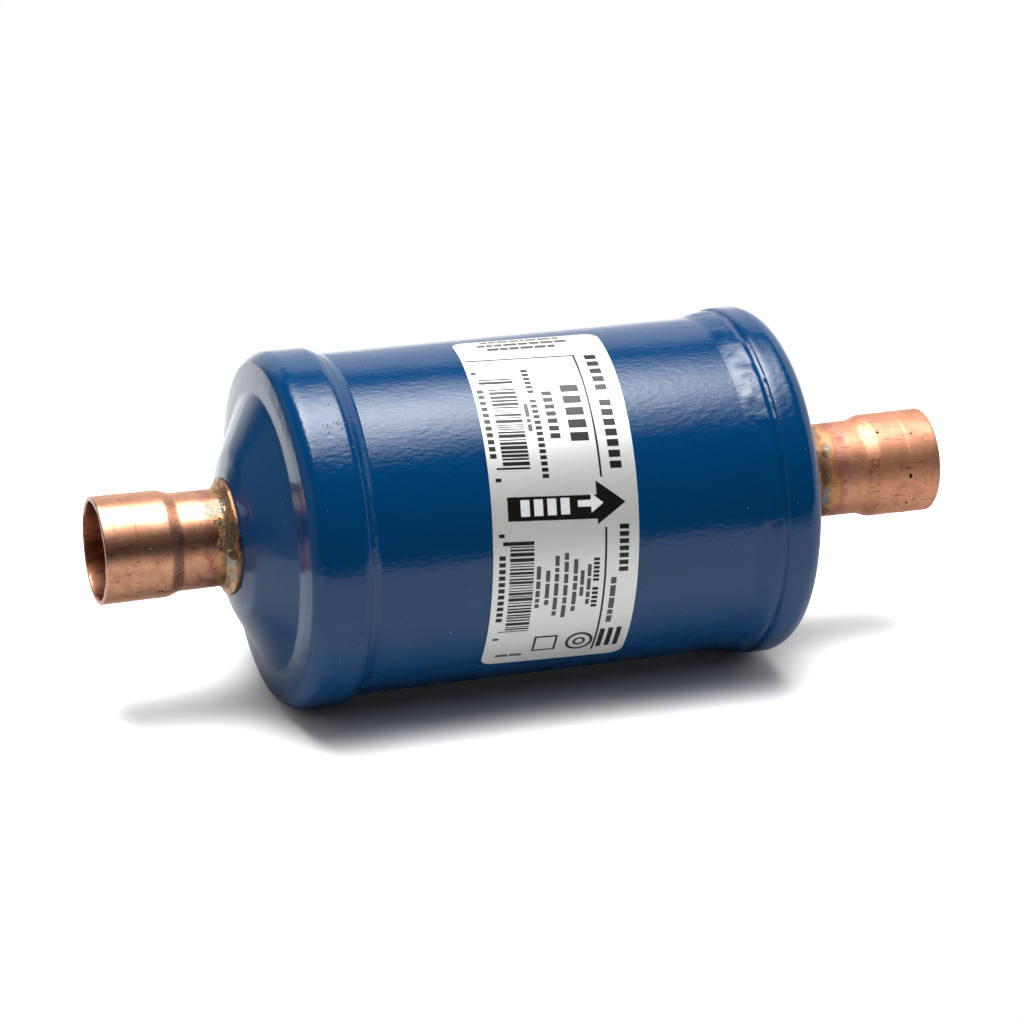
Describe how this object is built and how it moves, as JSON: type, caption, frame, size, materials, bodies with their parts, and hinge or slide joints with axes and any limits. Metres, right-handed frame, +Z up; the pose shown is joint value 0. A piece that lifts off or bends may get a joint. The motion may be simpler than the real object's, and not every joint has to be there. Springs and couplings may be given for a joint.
{
  "type": "filter drier",
  "caption": "Hermetic liquid-line filter drier: painted steel shell with drawn welded end caps, foil label and copper brazing sockets at both ends.",
  "frame": {"origin": "on the shell's axis, halfway between the open ends of the two copper sockets", "axes": "+X along the axis in the direction of flow, from inlet to outlet; +Z up; the label faces -Y"},
  "size_m": [0.201, 0.0816, 0.0816],
  "materials": {
    "painted_steel": "gloss enamel over steel",
    "copper": "bright drawn copper, tarnished",
    "braze_alloy": "brazing alloy with flux stains",
    "label_foil": "matt silver foil with black print",
    "spring_steel": "drawn spring wire",
    "plate_steel": "cold-rolled sheet",
    "woven_steel": "woven wire gauze",
    "felt": "pressed polyester felt",
    "glass_fibre": "bonded glass fibre",
    "desiccant": "compacted desiccant beads"
  },
  "bodies": {
    "root": {"shell_tube": "painted_steel", "inlet_end_cap": "painted_steel", "outlet_end_cap": "painted_steel", "inlet_weld_bead": "painted_steel", "outlet_weld_bead": "painted_steel", "inlet_stub": "copper", "outlet_stub": "copper", "inlet_braze_ring": "braze_alloy", "outlet_braze_ring": "braze_alloy", "label": "label_foil", "core_spring": "spring_steel", "pressure_plate": "plate_steel", "outlet_plate": "plate_steel", "inlet_mesh": "woven_steel", "bed_screen": "woven_steel", "outlet_mesh": "woven_steel", "inlet_pad": "felt", "outlet_coarse_pad": "felt", "outlet_fine_pad": "glass_fibre", "desiccant_bed": "desiccant"}
  },
  "joints": []
}
